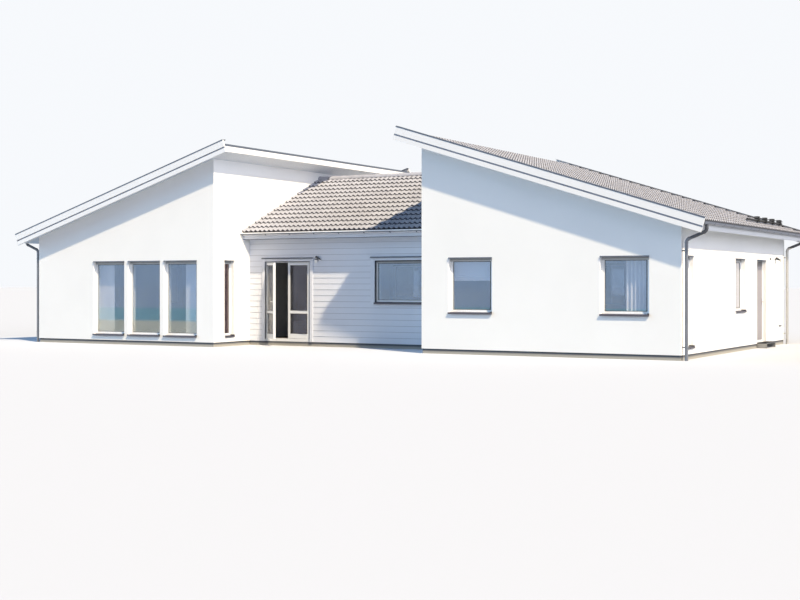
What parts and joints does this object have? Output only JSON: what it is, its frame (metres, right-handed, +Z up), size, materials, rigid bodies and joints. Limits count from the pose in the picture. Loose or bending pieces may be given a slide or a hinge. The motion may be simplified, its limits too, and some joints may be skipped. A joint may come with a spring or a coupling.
{
  "type": "single-storey beach house",
  "caption": "Single-storey beach house with two rendered wings under opposed single-pitch roofs and a clad middle part with a terrace door.",
  "frame": {"origin": "centre of the plan, on the underside of the foundation", "axes": "+X to the right along the front, +Y towards the rear, +Z up; the front faces -Y"},
  "size_m": [20.692, 10.318, 5.6327],
  "materials": {
    "plinth": "dark grey painted concrete",
    "floor": "matt floor tile",
    "render": "fine white mineral render",
    "inner_wall": "painted plaster",
    "white_boards": "white painted boards",
    "soffit": "white painted soffit boards",
    "roof_tile": "matt concrete pantile",
    "graphite_sheet": "graphite grey coated sheet",
    "grey_sheet": "grey coated sheet",
    "zinc_pipe": "silver grey coated pipe",
    "black_steel": "black coated steel",
    "white_frame": "white lacquered frame",
    "window_glass": "clear glazing unit",
    "entry_door": "warm grey lacquered door",
    "lamp_metal": "grey lacquered metal"
  },
  "bodies": {
    "house": {"foundation": "plinth", "floor": "floor", "left_front_wall": "render", "left_outer_wall": "render", "left_rear_wall": "render", "left_inner_wall_front": "render", "left_inner_wall_rear": "render", "left_inner_wall_head": "render", "right_front_wall": "render", "right_rear_wall": "render", "right_inner_wall_front": "render", "right_inner_wall_rear": "render", "right_inner_wall_head": "render", "right_outer_wall_front": "render", "right_outer_wall_rear": "render", "right_outer_wall_head": "render", "middle_front_wall_left": "inner_wall", "middle_front_wall_right": "inner_wall", "middle_front_wall_head": "inner_wall", "middle_rear_wall": "inner_wall", "middle_cladding": "white_boards", "middle_casings": "white_boards", "left_roof": "soffit", "left_tiles": "roof_tile", "left_roof_boards": "white_boards", "left_flashings": "graphite_sheet", "right_roof": "soffit", "right_tiles": "roof_tile", "right_roof_boards": "white_boards", "right_flashings": "graphite_sheet", "middle_roof": "soffit", "middle_tiles": "roof_tile", "middle_fascias": "white_boards", "ridge_tiles": "roof_tile", "gutters": "graphite_sheet", "downpipes": "zinc_pipe", "snow_guard": "black_steel", "window_frames": "white_frame", "window_glass": "window_glass", "window_sills": "grey_sheet", "head_flashings": "graphite_sheet", "patio_door_frame": "white_frame", "entry_door_frame": "white_frame", "entry_step": "black_steel", "wall_lamps": "lamp_metal"},
    "patio_left": {"patio_left_leaf": "white_frame", "patio_left_glass": "window_glass"},
    "patio_right": {"patio_right_leaf": "white_frame", "patio_right_glass": "window_glass"},
    "entry_door": {"entry_door_leaf": "entry_door"}
  },
  "joints": [
    {"name": "patio_left_hinge", "type": "hinge", "parent": "house", "child": "patio_left", "pos_m": [-2.717, -3.161, 0.206], "axis": [0, 0, -1], "range_deg": [-40, 50]},
    {"name": "patio_right_hinge", "type": "hinge", "parent": "house", "child": "patio_right", "pos_m": [-1.289, -3.161, 0.206], "axis": [0, 0, 1], "range_deg": [0, 90]},
    {"name": "entry_hinge", "type": "hinge", "parent": "house", "child": "entry_door", "pos_m": [9.62, 1.834, 0.206], "axis": [0, 0, -1], "range_deg": [0, 90]}
  ]
}
